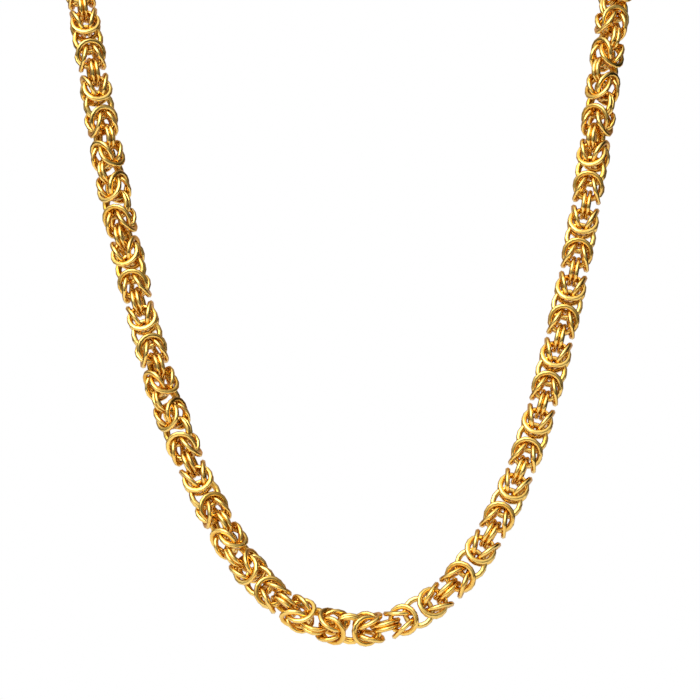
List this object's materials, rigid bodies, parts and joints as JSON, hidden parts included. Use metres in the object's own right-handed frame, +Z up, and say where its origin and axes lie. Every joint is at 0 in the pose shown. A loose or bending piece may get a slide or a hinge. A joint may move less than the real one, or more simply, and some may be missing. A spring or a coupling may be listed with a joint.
{
  "type": "byzantine chain necklace",
  "caption": "Byzantine chain necklace of round wire rings, paired and folded through each other, closed at the nape by a plain clasp and a ring.",
  "frame": {"origin": "the nape: the middle of the necklace's back, on the chain's centreline, where it hangs round a neck", "axes": "+Z up, -Y the wearer's front, where the chain hangs lowest, +X the viewer's right as the front is seen"},
  "size_m": [0.1265, 0.1106, 0.1831],
  "materials": {
    "polished_gold": "polished, warm yellow gold plating on brass wire"
  },
  "bodies": {
    "root": {"front_links": "polished_gold", "back_chain": "polished_gold", "clasp": "polished_gold", "clasp_ring": "polished_gold"}
  },
  "joints": []
}
